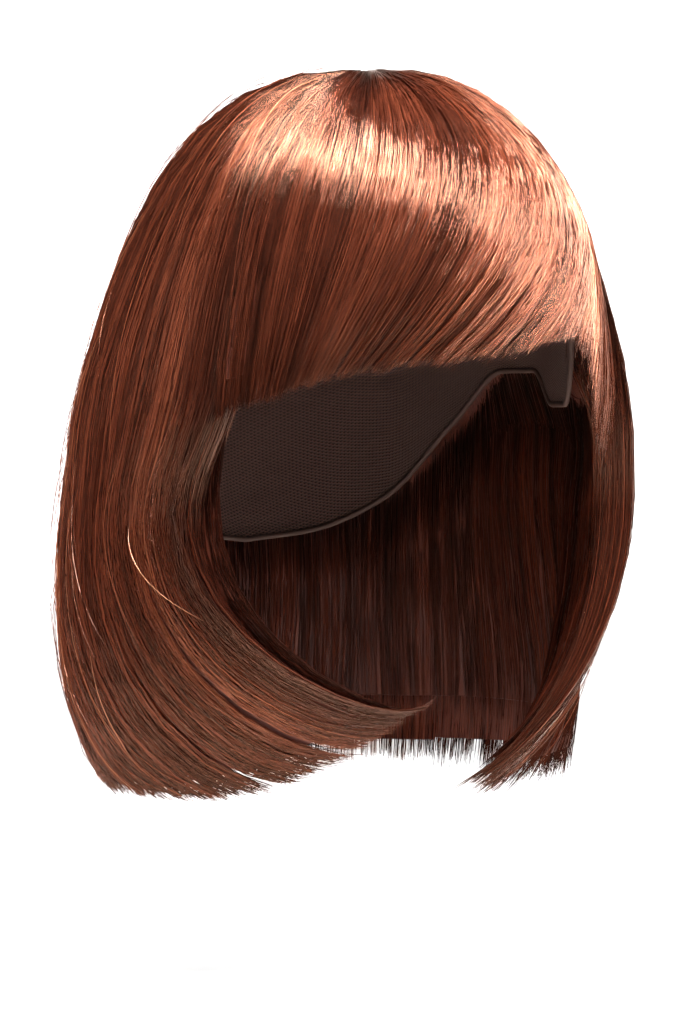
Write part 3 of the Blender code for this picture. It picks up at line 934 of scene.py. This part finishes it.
@dataclass
class HairSection:
    """One section of hair: packed hair on a backing, under many loose fibres."""

    node: str
    slot: str
    surface: Surface
    inner: Surface
    groom: Groom
    edges: tuple[float, float]
    tone: Tone
    fibres: int
    steps: int
    backing: tuple[int, int]
    seed: int
    # Listed bands of tint: centre azimuth, half width, gain; some are painted shade and painted highlight
    bands: tuple[tuple[float, float, float], ...] = ()
    batches: int = 1
    layers: float = 0.0018
    from_whorl: float = 0.45
    facing: float = 1.0
    lock_width: float = 3.4
    pull: float = 0.30
    ripple: float = 0.0005
    raise_by: float = 0.0008
    sink: float = 0.0017
    backing_end: float = 0.945
    backing_trim: tuple[float, float] = (0.08, 0.08)
    ragged: float = 0.012
    lining: int = 0
    free_edges: tuple[float, ...] = ()
    edge_fibres: int = 190
    edge_start: tuple[float, float] = (0.25, 0.5)
    edge_reach: float = 1.0
    fibre_radius: float = 0.00019
    weft_span: tuple[float, float] = (0.02, 0.36)
    short_share: float = 0.08
    short_by: tuple[float, float] = (0.02, 0.14)
    lining_start: tuple[float, float] = (0.50, 0.72)
    loosen: float = 0.0009
    # How much lighter the tips get: a painted glow of light shining through them from behind
    painted_tip_glow: float = 0.05
    # The valley ahead of the whorl, azimuth and half width, where the roots get more painted shade
    valley: tuple[float, float] = (-28.0, 17.0)
    lay: Lay = Lay()
    edge_lay: EdgeLay = EdgeLay()
    lining_lay: LiningLay = LiningLay()

    def lines(self, count: int, dice: Dice) -> Mesh:
        """Lay the fibres' centre lines along the groom.

        Args:
            count: How many fibres.
            dice: The source of chance.

        Returns:
            A mesh of lines with their tint, girth and length share.
        """
        lay = self.lay
        first, last = self.edges
        locks = max(2, round((last - first) / self.lock_width))
        middle = first + (np.arange(locks) + dice.uniform(*lay.middle, locks)) * (last - first) / locks
        azimuth = first - 0.5 + (np.arange(count) + dice.uniform(0, 1, count)) / count * (last - first + 1)
        lock = np.abs(azimuth[:, None] - middle[None, :]).argmin(1)
        share = np.linspace(0, 1, self.steps + 1)[None, :]

        def by_lock(low: float, high: float) -> Array:
            """Draw one number for each lock, as a column with a row for each fibre."""
            return dice.uniform(low, high, locks)[lock][:, None]

        # Some fibres start at the whorl, the others in rows of wefts further down the cap
        late = dice.uniform(0, 1, count) > self.from_whorl
        wefts = dice.uniform(*self.weft_span, count)
        start = np.where(late, wefts, self.weft_span[0] * dice.uniform(0, 1, count))
        reach = 1.0 + self.ragged * (by_lock(*lay.uneven)[:, 0] + dice.normal(0, 1.0, count))
        short = dice.uniform(0, 1, count) < self.short_share
        reach = np.where(short, reach - dice.uniform(*self.short_by, count), reach)
        along = start[:, None] + (reach - start)[:, None] * share

        # Sideways, in degrees: gathered into locks, each fibre's own drift and each lock's sway
        phase = dice.uniform(0, ROUND, (3, count, 1))
        pace = dice.uniform(*lay.pace, (2, count, 1))
        size, faster = lay.second
        drift = np.sin(pace[0] * along + phase[0]) + size * np.sin(faster * pace[1] * along + phase[1])
        gather = self.pull * by_lock(*lay.gather) * along**lay.gather_power
        turned = azimuth[:, None] + (middle[lock] - azimuth)[:, None] * gather
        sway = np.sin(lay.sway[1] * along + by_lock(0, ROUND))
        turned = turned + (lay.drift[0] + lay.drift[1] * along**2) * drift + lay.sway[0] * along**2 * sway

        # In depth, in metres: its layer, its root sunk in the wefts, its lock's crest and a little ripple
        layer = dice.uniform(0, 1, count)[:, None]
        crest = by_lock(*lay.crest)
        beside = np.abs(azimuth - middle[lock])[:, None] / self.lock_width
        fall, side, power = lay.crest_sides
        crest = (crest - fall * np.clip(beside, 0, side) ** power) * self.raise_by
        crest = crest * ease(along / lay.crest_from)
        deep, at_whorl, out_at = lay.buried
        buried = np.where(late, 1.0, at_whorl)[:, None] * (1 - ease(share / out_at)) * deep * self.layers
        room = np.minimum(self.layers, self.groom.thickness_at(along) * lay.room)
        loose = self.loosen * along**3 * np.sin(pace[1] * along + phase[2])
        quick, own, whole_at = lay.ripple
        wave = np.sin(quick * along + by_lock(0, ROUND) + own * phase[2])
        loose = loose + self.ripple * ease(along / whole_at) * wave
        depth = (layer * room + buried - crest - loose) * self.facing
        points = self.behind(turned, along, depth)

        # Deeper layers and the roots get painted shade, the tips a painted glow
        by_group, by_fibre, deep_layer_shade = lay.tint
        tint = self.shade(azimuth, dice) + dice.normal(0, by_group, locks)[lock]
        tint = tint + dice.normal(0, by_fibre, count)
        tint = (tint - deep_layer_shade * layer[:, 0])[:, None] - self.root_shadow(azimuth[:, None], along)
        tint = tint + self.painted_tip_glow * along**4
        return self.as_mesh(points, tint, dice.uniform(*lay.girth, count), share)

    def behind(self, azimuth: Array, along: Array, depth: Array) -> Array:
        """Return points this far behind the section's surface."""
        normal = self.groom.outward(self.surface, azimuth, along)
        return self.surface(azimuth, along) - normal * depth[..., None]

    def shade(self, azimuth: Array, dice: Dice) -> Array:
        """Return the section's tint with broad lighter and darker bands; some listed ones are painted shade
        and painted highlight.
        """
        tint = np.full(azimuth.shape, float(self.tone.value))
        for width in self.lay.band_widths:
            tint += self.lay.band_gain * np.sin(azimuth * 2 * math.pi / width + dice.uniform(0, ROUND))
        # Listed bands, some of them painted shade and painted highlight
        for centre, half, gain in self.bands:
            tint += gain * np.exp(-(((azimuth - centre) / half) ** 2))
        return tint

    def root_shadow(self, azimuth: Array, along: Array) -> Array:
        """Return the painted shade at the roots: how much darker they are, most of all in the valley ahead of
        the whorl.
        """
        centre, half = self.valley
        valley = np.exp(-(((azimuth - centre) / half) ** 2))
        dark, darker = self.lay.root_painted_shade
        reach, further = self.lay.root_reach
        return (dark + darker * valley) * np.exp(-((along / (reach + further * valley)) ** 2))

    def waver(self, along: Array, dice: Dice) -> Array:
        """Return a gentle sideways wave of each fibre, in degrees."""
        column = (len(along), 1)
        wave = dice.uniform(*self.lay.waver_pace, column) * along
        return self.lay.waver * np.sin(wave + dice.uniform(0, self.lay.waver_phase, column))

    def edged(self, edge: float, dice: Dice) -> Mesh:
        """Lay fibres through the whole thickness of a free edge.

        Args:
            edge: The edge's azimuth.
            dice: The source of chance.

        Returns:
            A mesh of lines.
        """
        count, lay = self.edge_fibres, self.edge_lay
        share = np.linspace(0, 1, self.steps + 1)[None, :]
        start = dice.uniform(*self.edge_start, count)[:, None]
        along = start + (1.0 + self.ragged * dice.normal(*lay.uneven, count)[:, None] - start) * share
        outwards = 1.0 if edge > sum(self.edges) / 2 else -1.0
        beyond = np.abs(dice.normal(0, 1.0, count)) - self.edge_reach * dice.uniform(0, 1, count) ** 2
        spread = lay.spread[0] + lay.spread[1] * along
        turned = edge + beyond[:, None] * outwards * spread + self.waver(along, dice) * along
        depth = dice.uniform(0, lay.deepest, count)[:, None] * ease(share / lay.sinks[0] + lay.sinks[1])
        visible = self.surface(turned, along)
        points = visible + (self.inner(turned, along) - visible) * depth[..., None]
        tint = (self.shade(np.full(count, edge), dice) + dice.normal(*lay.tint, count))[:, None]
        return self.as_mesh(points, tint, dice.uniform(*lay.girth, count), share)

    def lined(self, count: int, dice: Dice) -> Mesh:
        """Lay shorter fibres over the inner face, which shows from below and from the front.

        Args:
            count: How many fibres.
            dice: The source of chance.

        Returns:
            A mesh of lines.
        """
        lay = self.lining_lay
        first, last = self.edges
        azimuth = first + (np.arange(count) + dice.uniform(0, 1, count)) / count * (last - first)
        share = np.linspace(0, 1, self.steps // 2 + 1)[None, :]
        start = dice.uniform(*self.lining_start, count)[:, None]
        reach = 1.0 + self.ragged * dice.normal(*lay.uneven, count)[:, None]
        along = start + (reach - start) * share
        turned = azimuth[:, None] + self.waver(along, dice)
        # On the inner face, and a little inside it towards the tips
        most, less, late = lay.within
        within = most - less * ease((along - late) / (1 - late))
        points = self.behind(turned, along, self.groom.thickness_at(along) * within - lay.lift * (1 - share))
        tint = (self.shade(azimuth, dice) + dice.normal(*lay.tint, count))[:, None]
        return self.as_mesh(points, tint, dice.uniform(*lay.girth, count), share)

    @staticmethod
    def as_mesh(points: Array, tint: Array, girth: Array, share: Array) -> Mesh:
        """Return lines of points as a mesh with its numbers.

        Args:
            points: Points by fibre and step.
            tint: Its place on the ramp, by fibre and step.
            girth: Each fibre's share of the radius.
            share: Each step's share of the fibre's length.

        Returns:
            The mesh of edges.
        """
        count, steps = points.shape[:2]
        number = np.arange(count * steps).reshape(count, steps)
        edges = np.stack([number[:, :-1], number[:, 1:]], -1).reshape(-1, 2)
        mesh = bpy.data.meshes.new("lines")
        mesh.from_pydata(points.reshape(-1, 3).tolist(), edges.tolist(), [])
        for name, value in (("tint", tint), ("girth", girth[:, None]), ("along", share)):
            spread = np.broadcast_to(value, (count, steps)).astype(np.float32).ravel()
            mesh.attributes.new(name, "FLOAT", "POINT").data.foreach_set("value", spread)
        return mesh

    def build(self, tree: NodeTree, fibre: Material, packed: Material) -> None:
        """Make the backing and the fibres, and put them in the place of the section's solid.

        Args:
            tree: The tree that makes fibres of lines.
            fibre: The fibres' finish.
            packed: The backing's finish.
        """
        dice = np.random.default_rng(self.seed)
        columns, rows = self.backing
        trim = self.backing_trim
        azimuth = np.linspace(self.edges[0] + trim[0], self.edges[1] - trim[1], columns + 1)[:, None]
        share = np.linspace(0, self.backing_end, rows + 1)[None, :]
        normal = self.groom.outward(self.surface, azimuth, share)
        outer = self.surface(azimuth, share) - normal * self.sink * self.facing
        inner = self.inner(azimuth, share)
        made = [grid_body(f"{self.node}_backing", outer, inner, packed)]
        sets = [(f"_{n + 1}" if self.batches > 1 else "", self.lines(self.fibres // self.batches, dice))
                for n in range(self.batches)]
        if self.lining:
            sets.append(("_lining", self.lined(self.lining, dice)))
        sets += [(f"_edge_{n + 1}", self.edged(edge, dice)) for n, edge in enumerate(self.free_edges)]
        for number, (ending, lines) in enumerate(sets):
            values = {"Fibre radius": self.fibre_radius, "Seed": self.seed + number, "Finish": fibre}
            made.append(through_tree(f"{self.node}_fibres{ending}", lines, tree, values))
        for piece in made:
            claim(piece, self.slot, self.node)


@dataclass
class Cap:
    """The net cap: a shell with sewn weft rows inside and a taped edge."""

    groom: Groom
    columns: int = 110
    rows: int = 56
    weft_rows: float = 15.0
    weft_height: float = 0.0005
    hem_radius: float = 0.0011
    hem_steps: int = 220
    # Polar share of the first row, and the distance under which points are one
    first_row: float = 0.004
    weld: float = 0.00001
    # A seam's faces look this much sideways and lie this near the middle
    seam_slope: float = 0.9
    seam_reach: float = 0.00002

    def shell(self, finish: Material) -> Object:
        """Make the shell, whose inner face has a low ridge along each weft row."""
        head = self.groom.head
        azimuth = np.linspace(0, 360, self.columns + 1)[:, None]
        rows = np.linspace(self.first_row, 1, self.rows + 1)[None, :]
        polar = rows * self.groom.cap_edge(azimuth)
        ridge = 0.5 + 0.5 * np.cos(2 * math.pi * self.weft_rows * polar / LEVEL)
        inner = head.over(azimuth, polar, self.weft_height * (1 - ridge**3), from_whorl=False)
        outer = head.over(azimuth, polar, self.groom.cap_wall, from_whorl=False)
        made = grid_body("cap_net", outer, inner, finish)
        body = bmesh.new()
        body.from_mesh(made.data)
        seam = [f for f in body.faces if self.on_seam(f)]
        bmesh.ops.delete(body, geom=seam, context="FACES_ONLY")
        bmesh.ops.remove_doubles(body, verts=body.verts, dist=self.weld)
        bmesh.ops.holes_fill(body, edges=[e for e in body.edges if e.is_boundary], sides=0)
        bmesh.ops.recalc_face_normals(body, faces=body.faces)
        body.to_mesh(made.data)
        body.free()
        return made

    def on_seam(self, face: bmesh.types.BMFace) -> bool:
        """Return whether a face closes the shell across its wall where the columns meet."""
        middle = face.calc_center_median()
        across = abs(face.normal.x) > self.seam_slope
        return across and abs(middle.x) < self.seam_reach and middle.y < 0

    def hem(self, finish: Material) -> Object:
        """Make the rolled tape round the edge."""
        azimuth = np.linspace(0, 360, self.hem_steps, endpoint=False)
        path = self.groom.head.over(
            azimuth, self.groom.cap_edge(azimuth), self.groom.cap_wall / 2, from_whorl=False
        )
        curve = bpy.data.curves.new("hem", "CURVE")
        curve.dimensions, curve.bevel_depth, curve.bevel_resolution = "3D", self.hem_radius, 3
        spline = curve.splines.new("POLY")
        spline.points.add(len(path) - 1)
        spline.points.foreach_set("co", np.column_stack([path, np.ones(len(path))]).ravel())
        spline.use_cyclic_u = True
        source = linked("hem_path", curve)
        bpy.context.view_layer.update()
        evaluated = source.evaluated_get(bpy.context.evaluated_depsgraph_get())
        mesh = bpy.data.meshes.new_from_object(evaluated)
        mesh.name = "cap_hem"
        bpy.data.objects.remove(source)
        mesh.shade_smooth()
        mesh.materials.clear()
        mesh.materials.append(finish)
        return linked("cap_hem", mesh)

    def build(self) -> None:
        """Make and dress every piece of the cap."""
        net = NetFinish().material()
        dark, mid, light = (0.02, 0.01, 0.008), (0.035, 0.017, 0.012), (0.05, 0.025, 0.018)
        tape = BackingFinish("hem tape", dark, mid, light, roughness=0.7)
        for piece in (self.shell(net), self.hem(tape.material())):
            claim(piece, "cap", "cap")


@dataclass
class Knot:
    """The low knot of wefts that closes the middle of the whorl."""

    groom: Groom
    radius: float = 0.0065
    half_height: float = 0.0018
    sunk: float = 0.0021
    sides: int = 32
    rings: int = 12

    def build(self, packed: Material) -> None:
        """Make the knot.

        Args:
            packed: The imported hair's finish.
        """
        middle = np.zeros(1)
        depth = self.groom.depth(middle, middle) - self.half_height - self.sunk
        centre = self.groom.head.over(middle, middle, depth)
        turn = np.linspace(0, 2 * math.pi, self.sides, endpoint=False)
        level = np.linspace(0, math.pi, self.rings + 1)[1:-1, None]
        wide = np.sin(level)
        body = stack(wide * np.cos(turn), wide * np.sin(turn), np.cos(level)).reshape(-1, 3)
        ball = np.concatenate([[[0, 0, 1]], body, [[0, 0, -1]]])
        number = 1 + np.arange(len(body)).reshape(self.rings - 1, self.sides)
        beside, last = np.roll(number, -1, 1), len(ball) - 1
        faces = [(0, one, other) for one, other in zip(number[0].tolist(), beside[0].tolist())]
        faces += np.stack([number[:-1], number[1:], beside[1:], beside[:-1]], -1).reshape(-1, 4).tolist()
        faces += [(last, other, one) for one, other in zip(number[-1].tolist(), beside[-1].tolist())]
        mesh = bpy.data.meshes.new("whorl_knot")
        mesh.from_pydata((ball * (self.radius, self.radius, self.half_height) + centre).tolist(), [], faces)
        flow = np.stack([np.arctan2(ball[:, 1], ball[:, 0]) / (2 * math.pi) + 0.5, ball[:, 2]], -1)
        corner = np.concatenate([np.array(face) for face in faces])
        mesh.uv_layers.new(name=FLOW_MAP).uv.foreach_set("vector", flow[corner].ravel())
        mesh.shade_smooth()
        mesh.materials.append(packed)
        claim(linked("whorl_knot", mesh), "hair")


@dataclass
class Flyaways:
    """Single stray fibres that lift off the smooth hair, lighter than it as painted glints."""

    groom: Groom
    fibres: int = 180
    steps: int = 14
    most: float = 0.0040
    least: float = 0.0006
    radius: float = 0.00011
    seed: int = 91
    azimuths: tuple[float, float] = (62, 300)
    roots: tuple[float, float] = (0.02, 0.75)
    lengths: tuple[float, float] = (0.12, 0.45)
    furthest: float = 1.015
    # A third of them stand on the wearer's right, at these azimuths and roots
    third_azimuths: tuple[float, float] = (228, 262)
    third_roots: tuple[float, float] = (0.4, 0.8)
    # Sideways drift in degrees and its power along the fibre
    drift: tuple[float, float] = (7.0, 1.4)
    # Share of the highest lift, that draw's power, and the powers of the arch along the fibre
    lifts: tuple[float, float] = (0.15, 1.0)
    lift_power: float = 1.6
    arch: tuple[float, float] = (0.8, 1.2)
    # Lighter than the hair beneath: painted glints
    tints: tuple[float, float] = (0.5, 0.98)
    girth: tuple[float, float] = (0.7, 1.1)

    def build(self, tree: NodeTree, fibre: Material) -> None:
        """Make the stray fibres.

        Args:
            tree: The tree that makes fibres of lines.
            fibre: The fibres' finish.
        """
        dice = np.random.default_rng(self.seed)
        count = self.fibres
        share = np.linspace(0, 1, self.steps + 1)[None, :]
        third = count // 3
        azimuth = dice.uniform(*self.azimuths, count)[:, None]
        azimuth[:third] = dice.uniform(*self.third_azimuths, (third, 1))
        start = dice.uniform(*self.roots, count)[:, None]
        start[:third] = dice.uniform(*self.third_roots, (third, 1))
        reach = np.minimum(start + dice.uniform(*self.lengths, (count, 1)), self.furthest)
        along = start + (reach - start) * share
        turned = azimuth + dice.normal(0, self.drift[0], (count, 1)) * share ** self.drift[1]
        early, round_off = self.arch
        lift = dice.uniform(*self.lifts, (count, 1)) ** self.lift_power * self.most
        lift = lift * np.sin(math.pi * share**early) ** round_off
        out = self.groom.outward(self.groom.hanging, turned, along)
        points = self.groom.hanging(turned, along) + out * (lift + self.least)[..., None]
        tint = dice.uniform(*self.tints, (count, 1))
        lines = HairSection.as_mesh(points, tint, dice.uniform(*self.girth, count), share)
        values = {"Fibre radius": self.radius, "Seed": self.seed, "Finish": fibre}
        claim(through_tree("flyaway_fibres", lines, tree, values), "light_hair")


@dataclass
class Wig:
    """All the hair, section by section round the whorl."""

    groom: Groom

    def sections(self) -> list[HairSection]:
        """Return the sections with their edges, fibres and looks."""
        groom = self.groom

        def behind(surface: Surface, free: tuple[float, float]) -> Surface:
            """Return the inner surface of a section."""
            return lambda azimuth, share: groom.inner(surface, free, azimuth, share)

        hanging = behind(groom.hanging, groom.hanging_free)
        return [
            HairSection(
                "fringe", "hair", groom.fringe, behind(groom.fringe, groom.swept_free), groom, (-58, 48),
                Tone.AUBURN, fibres=2450, steps=12, backing=(90, 44), seed=11, ragged=0.007, pull=0.16,
                raise_by=0.0006, free_edges=(-58.0,), edge_fibres=130, edge_start=(0.15, 0.45),
                bands=((30, 16, 0.08), (-52, 9, -0.08)), backing_trim=(1.2, 0.08),
            ),
            HairSection(
                "temple_lock", "light_hair", groom.temple, behind(groom.temple, groom.swept_free), groom,
                (48, 60), Tone.COPPER, fibres=450, steps=12, backing=(20, 40), seed=12, ragged=0.02,
            ),
            HairSection(
                "left_curtain", "hair", groom.hanging, hanging, groom, (60, 132), Tone.AUBURN,
                fibres=1500, steps=14, backing=(60, 50), seed=13, lining=260, free_edges=(60.0,),
                backing_trim=(1.0, 0.08), backing_end=0.968, ragged=0.016,
            ),
            HairSection(
                "back_hair", "hair", groom.hanging, hanging, groom, (132, 228), Tone.AUBURN,
                fibres=1600, steps=12, backing=(70, 48), seed=14, lining=450, pull=0.12, ragged=0.006,
                backing_end=0.972,
            ),
            HairSection(
                "right_curtain", "hair", groom.hanging, hanging, groom, (228, 302), Tone.AUBURN,
                fibres=2500, steps=15, backing=(60, 54), seed=15, batches=2, lining=300, free_edges=(302.0,),
                backing_trim=(0.08, 1.2),
                # Painted shade along the front edge at 300.5; at 290 lighter copper hair with a painted
                # highlight
                bands=((300.5, 4.5, -0.13), (290, 4, 0.14), (268, 5, 0.06), (252, 6, -0.05)),
            ),
            HairSection(
                "under_hair", "inner_hair", groom.under_inner, groom.under, groom, groom.under_edges,
                Tone.DARK, fibres=1350, steps=8, backing=(100, 20), seed=16, layers=0.0008, from_whorl=1.0,
                raise_by=0.0003, sink=0.0009, ragged=0.045, facing=-1.0, free_edges=(61.0, 301.0),
                edge_fibres=240,
                edge_start=(0.02, 0.3), edge_reach=9.0, backing_end=0.93,
            ),
        ]

    def build(self, tree: NodeTree, fibre: Material) -> None:
        """Make every section.

        Args:
            tree: The tree that makes fibres of lines.
            fibre: The fibres' finish.
        """
        dark, mid, light = (0.020, 0.0043, 0.0022), (0.050, 0.0105, 0.0048), (0.092, 0.020, 0.0090)
        auburn = BackingFinish("packed auburn hair", dark, mid, light).material()
        # The inner layer's packed hair: darker colours that paint its shade
        dark, mid, light = (0.016, 0.0038, 0.002), (0.040, 0.0090, 0.0045), (0.075, 0.017, 0.008)
        shade = BackingFinish("packed inner hair", dark, mid, light).material()
        satin = FibreFinish("satin inner fibre", roughness=0.42, metal=0.3, index=1.4, sheen=0.15).material()
        Knot(self.groom).build(auburn)
        for section in self.sections():
            # Sections in painted shade get the inner finishes
            inside = section.tone is Tone.DARK
            section.build(tree, satin if inside else fibre, shade if inside else auburn)


@dataclass(frozen=True)
class Softbox:
    """One soft light. Places count from the camera's line of sight: to the right, towards it, up."""

    name: str
    place: Place
    size: tuple[float, float]
    watts: float
    aim: Place
    spread: float = 180.0


@dataclass
class Studio:
    """Pale floor, soft lights and the camera. Lengths in metres."""

    azimuth: float = -30.0
    distance: float = 1.6
    eye_height: float = -0.1234
    image: tuple[int, int] = (683, 1024)
    pixels_per_metre: float = 2650.0
    axis_pixel: float = 355.0
    eye_pixel: float = 430.0
    floor_height: float = -0.330
    # The paper: half its width, its reach before and behind the wig, its height, its bend's radius
    paper: tuple[float, float, float, float, float] = (9.0, 8.0, 8.0, 9.0, 2.0)
    bend_steps: int = 12
    sky: float = 0.14
    # The camera's sensor width in millimetres and its nearest view
    sensor: float = 36.0
    nearest: float = 0.05
    lights: tuple[Softbox, ...] = (
        Softbox("overhead", (0.05, 0.50, 0.85), (1.0, 0.12), 17.0, CROWN, 90.0),
        Softbox("overhead_right", (0.50, 0.36, 0.90), (0.4, 0.14), 8.0, CROWN, 90.0),
        Softbox("crown_right", (0.66, 0.08, 0.96), (0.4, 0.10), 9.0, CROWN, 90.0),
        Softbox("front_left", (-0.9, 1.2, 0.35), (0.8, 1.0), 3.0, JAW),
        Softbox("front_right", (1.0, 1.0, 0.1), (0.7, 1.0), 2.2, JAW),
        Softbox("rim_right", (0.55, -0.45, -0.05), (0.25, 0.7), 5.0, JAW),
        Softbox("rim_left", (-0.55, -0.35, -0.25), (0.25, 0.6), 24.0, JAW),
        Softbox("backdrop", (0.0, -5.0, 2.4), (4.0, 1.2), 260.0, (0.0, -8.0, 0.3)),
        Softbox("floor_wash", (0.0, -2.4, 2.2), (4.0, 1.5), 110.0, (0.0, -3.6, -0.3), 120.0),
    )

    def spot(self, side: float, forward: float, height: float) -> Vector:
        """Return a place counted from the camera's line of sight."""
        turn = math.radians(self.azimuth)
        right, near = (math.cos(turn), math.sin(turn), 0), (math.sin(turn), -math.cos(turn), 0)
        return Vector(right) * side + Vector(near) * forward + Vector((0, 0, height))

    def hang(self, item: ID, place: Vector, aim: Vector) -> Object:
        """Put a light or a camera in its place, turned to what it points at."""
        made = linked(item.name, item)
        made.location = place
        made.rotation_euler = (aim - place).to_track_quat("-Z", "Y").to_euler()
        return made

    def camera(self) -> None:
        """Place the camera so that the wig's axis and eye level fall on their pixels."""
        lens = bpy.data.cameras.new("camera")
        lens.sensor_fit, lens.sensor_width = "HORIZONTAL", self.sensor
        lens.lens = lens.sensor_width * self.pixels_per_metre * self.distance / self.image[0]
        lens.clip_start = self.nearest
        beside = (self.image[0] / 2 - self.axis_pixel) / self.pixels_per_metre
        below = (self.image[1] / 2 - self.eye_pixel) / self.pixels_per_metre
        place = self.spot(0, self.distance, self.eye_height)
        bpy.context.scene.camera = self.hang(lens, place, self.spot(beside, 0, self.eye_height - below))

    def sweep(self) -> None:
        """Make the paper: floor, bend and back in one."""
        half, before, behind, top, bend = self.paper
        profile = [(-before, 0.0)]
        for turn in np.linspace(0, math.pi / 2, self.bend_steps):
            profile.append((behind - bend + bend * math.sin(turn), bend - bend * math.cos(turn)))
        profile.append((behind, top))
        points = [self.spot(side, -y, self.floor_height + z) for side in (-half, half) for y, z in profile]
        count = len(profile)
        mesh = bpy.data.meshes.new("paper_sweep")
        mesh.from_pydata(points, [], [(i, i + count, i + count + 1, i + 1) for i in range(count - 1)])
        mesh.shade_smooth()
        mesh.materials.append(PaperFinish().material())
        linked("paper_sweep", mesh)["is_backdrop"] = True

    def build(self) -> None:
        """Make the paper, the world, the lights and the camera."""
        self.sweep()
        world = bpy.data.worlds.new("studio")
        bpy.context.scene.world = world
        world.use_nodes = True
        background = world.node_tree.nodes["Background"]
        background.inputs["Color"].default_value = (1, 1, 1, 1)
        background.inputs["Strength"].default_value = self.sky
        for box in self.lights:
            lamp = bpy.data.lights.new(box.name, "AREA")
            lamp.shape, lamp.size, lamp.size_y = "RECTANGLE", *box.size
            lamp.energy, lamp.spread = box.watts, math.radians(box.spread)
            self.hang(lamp, self.spot(*box.place), self.spot(*box.aim))
        self.camera()
        bpy.context.scene.view_settings.view_transform = "Standard"


def corners() -> list[list[float]]:
    """Return the whole object's box as plain lists."""
    bpy.context.view_layer.update()
    return [[float(value) for value in corner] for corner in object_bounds()]


def main() -> None:
    """Build the wig piece by piece, then the studio."""
    logging.basicConfig(level=logging.INFO, format="%(message)s")
    solid_box = corners()
    groom = Groom()
    tree, fibre = FibreTree().build(), FibreFinish().material()
    Cap(groom).build()
    Wig(groom).build(tree, fibre)
    Flyaways(groom).build(tree, fibre)
    Studio().build()
    dressed_box = corners()
    log.info("solids %s, dressed %s", solid_box, dressed_box)


if __name__ == "__main__":
    main()
